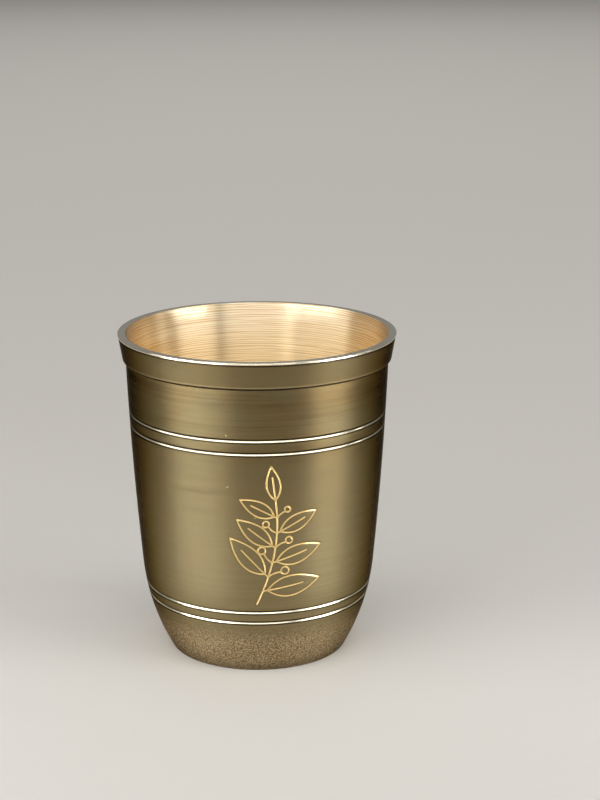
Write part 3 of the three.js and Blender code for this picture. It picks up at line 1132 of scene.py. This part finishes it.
# High lamps: azimuth and elevation in degrees, distance, width and height in metres, power in watts
HIGH_LAMPS = {
    "window_left": (-62, 30, 0.90, 1.10, 0.46, 4.4),
    "window_front": (0.5, 30, 1.00, 1.16, 0.50, 5.9),
    "window_right": (63, 30, 1.00, 0.70, 0.50, 3.7),
    "window_side": (104, 30, 1.00, 0.05, 0.50, 0.5),
    "softbox_top": (0, 84, 1.20, 1.00, 1.00, 2.2),
}
FLOOR_LAMP = (180, 36, 1.90, 2.00, 2.20, 7.5)
FLOOR_LAMP_BEAM = math.radians(100)

# Rows of low lamps: azimuth of the middle in degrees, and the power of each lamp in watts
LOW_LAMPS = {
    "strip_left": (-51, (0.071, 0.066, 0.045)),
    "strip_right": (66, (0.077, 0.077)),
}
LOW_LAMP_STEP = 17.0
LOW_LAMP_ELEVATION = 3.0
LOW_LAMP_DISTANCE = 0.50
LOW_LAMP_WIDTH = 0.147
LOW_LAMP_HEIGHT = 0.10
LOW_LAMP_BEAM = math.radians(40)


def studio_floor():
    mesh = bpy.data.meshes.new("studio_floor")
    far = FLOOR_REACH
    corners = [(-far, -far, 0), (far, -far, 0), (far, far, 0), (-far, far, 0)]
    mesh.from_pydata(corners, [], [(0, 1, 2, 3)])
    material, _, shader = new_finish("studio_floor")
    shader.inputs["Base Color"].default_value = PALE_FLOOR
    shader.inputs["Roughness"].default_value = FLOOR_ROUGHNESS
    mesh.materials.append(material)
    floor = bpy.data.objects.new("studio_floor", mesh)
    bpy.context.scene.collection.objects.link(floor)


def softbox(name, azimuth, elevation, distance, width, height, power, colour=WHITE):
    """Soft lamp that faces the tumbler's middle. Azimuth 0 is the camera's side, positive to its right."""
    middle = Vector((0, 0, HEIGHT / 2))
    a, e = math.radians(azimuth), math.radians(elevation)
    back = Vector((math.sin(a) * math.cos(e), -math.cos(a) * math.cos(e), math.sin(e)))
    lamp = bpy.data.lights.new(name, "AREA")
    lamp.shape = "RECTANGLE"
    lamp.size = width
    lamp.size_y = height
    lamp.energy = power
    lamp.color = colour
    obj = bpy.data.objects.new(name, lamp)
    obj.location = middle + back * distance
    obj.rotation_euler = back.to_track_quat("Z", "Y").to_euler()
    obj.visible_camera = False
    bpy.context.scene.collection.objects.link(obj)
    return obj


def low_lamps(name, azimuth, powers):
    """Row of low lamps set round the tumbler, with narrow beams that pass over the floor before them."""
    for i, power in enumerate(powers):
        turned_by = (i - (len(powers) - 1) / 2) * LOW_LAMP_STEP
        lamp = softbox(
            f"{name}_{i + 1}",
            azimuth + turned_by,
            LOW_LAMP_ELEVATION,
            LOW_LAMP_DISTANCE,
            LOW_LAMP_WIDTH,
            LOW_LAMP_HEIGHT,
            power,
            DAYLIGHT,
        )
        lamp.data.spread = LOW_LAMP_BEAM


def studio_light():
    world = bpy.data.worlds.new("studio")
    bpy.context.scene.world = world
    world.use_nodes = True
    background = world.node_tree.nodes["Background"]
    background.inputs["Color"].default_value = WORLD_GREY
    background.inputs["Strength"].default_value = 1.0
    for name, (azimuth, powers) in LOW_LAMPS.items():
        low_lamps(name, azimuth, powers)
    for name, lamp in HIGH_LAMPS.items():
        softbox(name, *lamp)
    floor_light = softbox("floor_light", *FLOOR_LAMP)
    floor_light.rotation_euler = (0, 0, 0)
    floor_light.data.spread = FLOOR_LAMP_BEAM


def photo_camera():
    data = bpy.data.cameras.new("photo_camera")
    data.sensor_width = SENSOR
    data.lens = FOCAL_PIXELS * SENSOR / PHOTO_HEIGHT
    camera = bpy.data.objects.new("photo_camera", data)
    back = Vector((0, -math.cos(CAMERA_PITCH), math.sin(CAMERA_PITCH)))
    camera.location = CAMERA_TARGET + back * CAMERA_DISTANCE
    camera.rotation_euler = (math.pi / 2 - CAMERA_PITCH, 0, 0)
    bpy.context.scene.collection.objects.link(camera)
    bpy.context.scene.camera = camera


wall_finish = dark_bronze()
drinking_cup(bright_bronze())
collar_band(wall_finish)
grooved_shell(wall_finish)
foot_plate(wall_finish)
solder_seals(tin_solder())
photo_camera()
studio_floor()
studio_light()
bpy.context.scene.view_settings.view_transform = "Standard"
